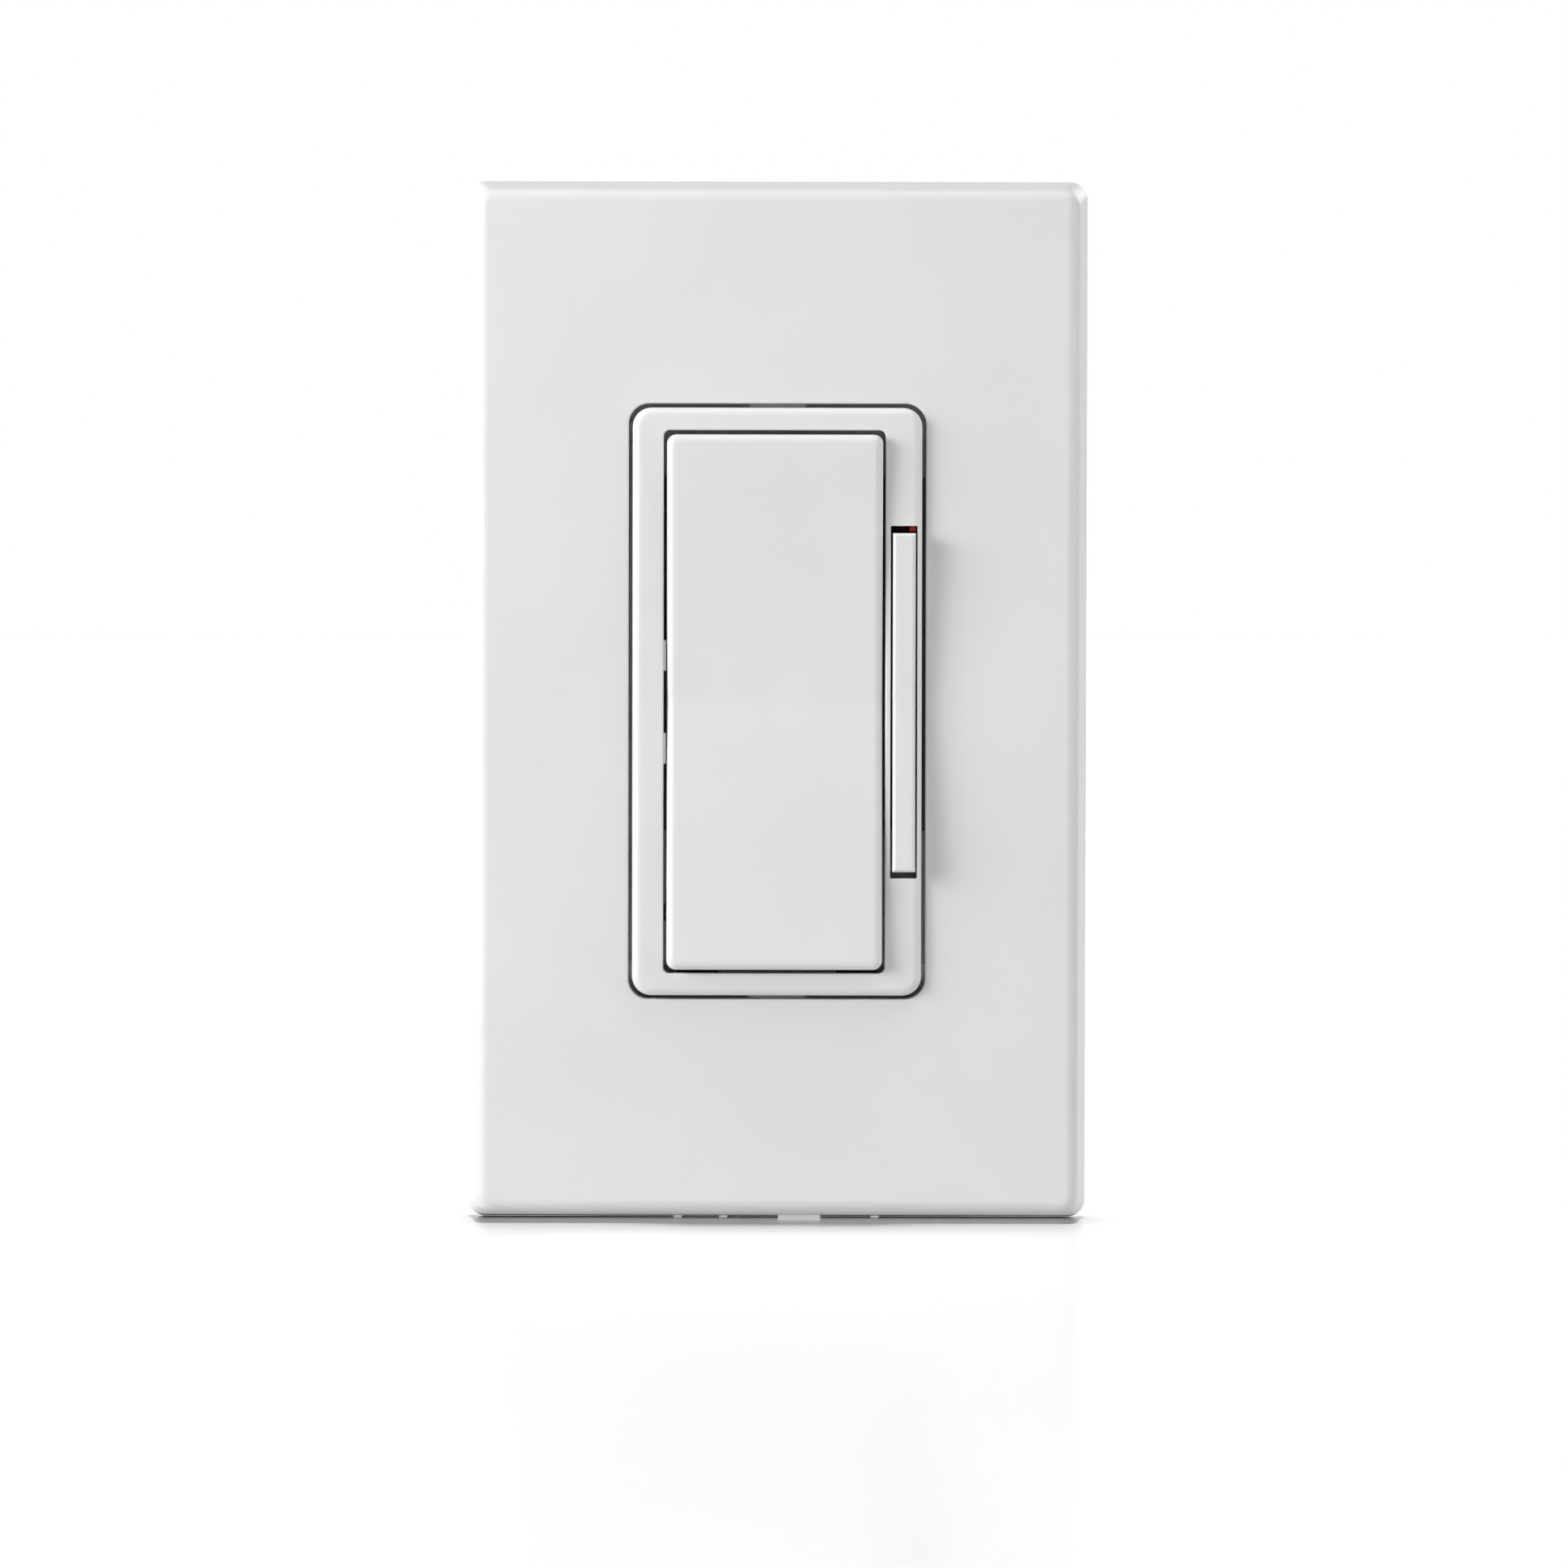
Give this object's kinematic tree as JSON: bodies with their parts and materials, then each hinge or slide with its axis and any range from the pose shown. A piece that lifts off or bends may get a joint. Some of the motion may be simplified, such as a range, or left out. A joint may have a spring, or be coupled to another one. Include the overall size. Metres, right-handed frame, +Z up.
{
  "type": "wall dimmer switch",
  "caption": "Decorator-style electronic wall dimmer in a screwless one-gang wallplate, with a rocking push paddle, a narrow rocking dim bar and a red air-gap pull tab.",
  "frame": {"origin": "on the wall surface, midway between the two device screws", "axes": "front faces -Y, the screws point along +Y into the wall box, +Z is up, +X is to the right seen from the front"},
  "size_m": [0.07, 0.0395, 0.1172],
  "materials": {
    "wallplate_plastic": "semi-gloss moulded white",
    "subplate_plastic": "satin moulded white",
    "bezel_plastic": "semi-gloss moulded white",
    "rocker_plastic": "semi-gloss moulded white",
    "strap_steel": "zinc-plated steel",
    "screw_steel": "bright zinc-plated",
    "painted_screw": "white-painted head",
    "green_screw": "green-dyed zinc",
    "black_screw": "black oxide",
    "fibre": "vulcanised fibre",
    "housing_plastic": "fine-textured thermoplastic",
    "label_film": "blank silver-grey polyester film",
    "chassis_plastic": "satin moulded light grey",
    "switch_metal": "stamped stainless",
    "switch_plastic": "black moulded",
    "stem_plastic": "black moulded",
    "circuit_board": "green solder mask",
    "chip_epoxy": "moulded epoxy with tinned leads",
    "connector_plastic": "black moulded",
    "pin_metal": "plated pin",
    "air_gap_plastic": "red moulded",
    "contact_brass": "stamped brass",
    "clamp_steel": "zinc-plated, serrated",
    "brass_screw": "bright brass",
    "film_cap_case": "yellow moulded case",
    "can_sleeve": "shrink sleeve",
    "varistor_coat": "blue dipped epoxy",
    "fuse_body": "ceramic-coated body",
    "resistor_coat": "lacquer coat",
    "choke_coat": "epoxy-coated powdered iron",
    "copper_wire": "enamelled copper",
    "insulator": "polyester film",
    "thermal_pad": "silicone pad",
    "bush_plastic": "natural nylon"
  },
  "bodies": {
    "device": {"wallplate_cover": "wallplate_plastic", "wallplate_subplate": "subplate_plastic", "subplate_screws": "painted_screw", "mounting_strap": "strap_steel", "device_screws": "screw_steel", "screw_retainers": "fibre", "ground_screw": "green_screw", "face_frame": "bezel_plastic", "paddle_pivot_pin": "screw_steel", "switch_chassis": "chassis_plastic", "tact_switch_covers": "switch_metal", "tact_switch_bases": "switch_plastic", "control_board": "circuit_board", "microcontroller": "chip_epoxy", "board_header": "connector_plastic", "header_pins": "pin_metal", "air_gap_contacts": "contact_brass", "back_housing": "housing_plastic", "rating_label": "label_film", "housing_screws": "screw_steel", "terminal_plates": "contact_brass", "terminal_clamps": "clamp_steel", "terminal_screws_brass": "brass_screw", "terminal_screw_black": "black_screw", "terminal_screw_silver": "screw_steel", "power_board": "circuit_board", "film_capacitor": "film_cap_case", "electrolytic_capacitor": "can_sleeve", "varistor": "varistor_coat", "fuse": "fuse_body", "resistors": "resistor_coat", "bridge_rectifier": "chip_epoxy", "choke_core": "choke_coat", "choke_winding": "copper_wire", "insulating_film": "insulator", "triac": "chip_epoxy", "triac_pad": "thermal_pad", "triac_bushing": "bush_plastic", "triac_screw": "screw_steel"},
    "paddle": {"paddle": "rocker_plastic"},
    "dim_bar": {"dim_bar": "rocker_plastic", "bar_pivot_pin": "screw_steel"},
    "air_gap_tab": {"air_gap_tab": "air_gap_plastic", "air_gap_bridge": "contact_brass"},
    "paddle_stem_upper": {"paddle_stem_upper": "stem_plastic"},
    "paddle_stem_lower": {"paddle_stem_lower": "stem_plastic"},
    "bar_stem_upper": {"bar_stem_upper": "stem_plastic"},
    "bar_stem_lower": {"bar_stem_lower": "stem_plastic"}
  },
  "joints": [
    {"name": "paddle_rock", "type": "hinge", "parent": "device", "child": "paddle", "pos_m": [-0.00027, -0.0041, 0], "axis": [1, 0, 0], "range_deg": [-1.43, 1.43], "stiffness_Nm_per_rad": 1.2},
    {"name": "bar_rock", "type": "hinge", "parent": "device", "child": "dim_bar", "pos_m": [0.01419, -0.0046, 0], "axis": [1, 0, 0], "range_deg": [-1.6, 1.6], "stiffness_Nm_per_rad": 0.4},
    {"name": "air_gap_pull", "type": "slide", "parent": "device", "child": "air_gap_tab", "axis": [0, -1, 0], "range_m": [0, 0.003]},
    {"name": "paddle_stem_upper_slide", "type": "slide", "parent": "device", "child": "paddle_stem_upper", "axis": [0, 1, 0], "range_m": [-0.00031, 0.00031]},
    {"name": "paddle_stem_lower_slide", "type": "slide", "parent": "device", "child": "paddle_stem_lower", "axis": [0, 1, 0], "range_m": [-0.00031, 0.00031]},
    {"name": "bar_stem_upper_slide", "type": "slide", "parent": "device", "child": "bar_stem_upper", "axis": [0, 1, 0], "range_m": [-0.00026, 0.00026]},
    {"name": "bar_stem_lower_slide", "type": "slide", "parent": "device", "child": "bar_stem_lower", "axis": [0, 1, 0], "range_m": [-0.00026, 0.00026]}
  ],
  "couplings": [
    {"joint": "paddle_stem_upper_slide", "follows": "paddle_rock", "m_per_rad": -0.012},
    {"joint": "paddle_stem_lower_slide", "follows": "paddle_rock", "m_per_rad": 0.012},
    {"joint": "bar_stem_upper_slide", "follows": "bar_rock", "m_per_rad": -0.009},
    {"joint": "bar_stem_lower_slide", "follows": "bar_rock", "m_per_rad": 0.009}
  ]
}
